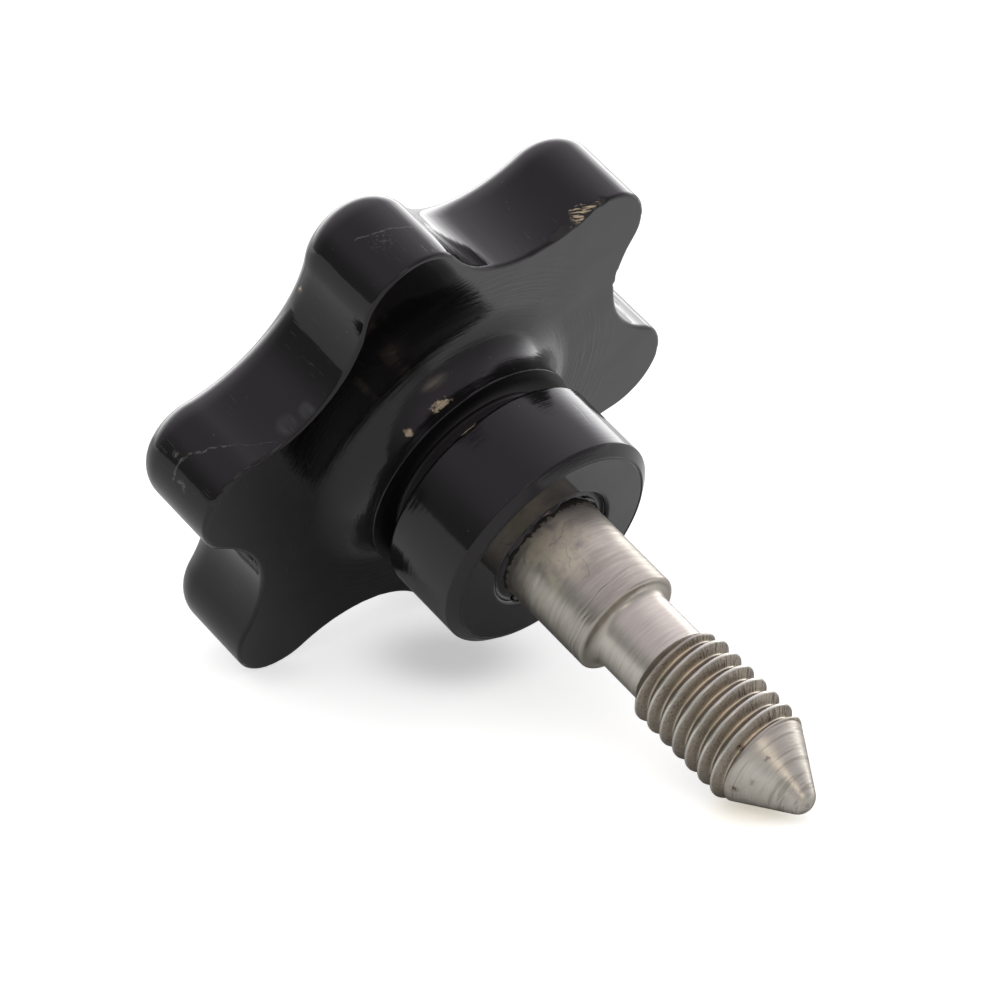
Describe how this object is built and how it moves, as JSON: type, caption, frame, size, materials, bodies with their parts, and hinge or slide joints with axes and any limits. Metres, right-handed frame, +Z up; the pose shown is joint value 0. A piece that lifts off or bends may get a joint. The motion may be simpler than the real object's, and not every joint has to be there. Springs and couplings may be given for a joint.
{
  "type": "lock knob",
  "caption": "Black moulded star knob with a lobed grip and a grooved hub, fixed on a turned steel stud with a plain shank, a screw thread and a cone point; screwed in by hand to lock a setting",
  "frame": {"origin": "middle of the bottom of the bounding box, on the table that the part lies on", "axes": "+Z up from the table; the stud points along +X and dips towards the table; +Y across the star"},
  "size_m": [0.0614, 0.0534, 0.0463],
  "materials": {
    "moulding": "black moulded resin, glossy, with fine scuffs and turning marks round the hub",
    "stud_steel": "turned stainless steel, satin, with fine rings and a few stains"
  },
  "bodies": {
    "root": {"star_knob": "moulding", "stud": "stud_steel"}
  },
  "joints": []
}
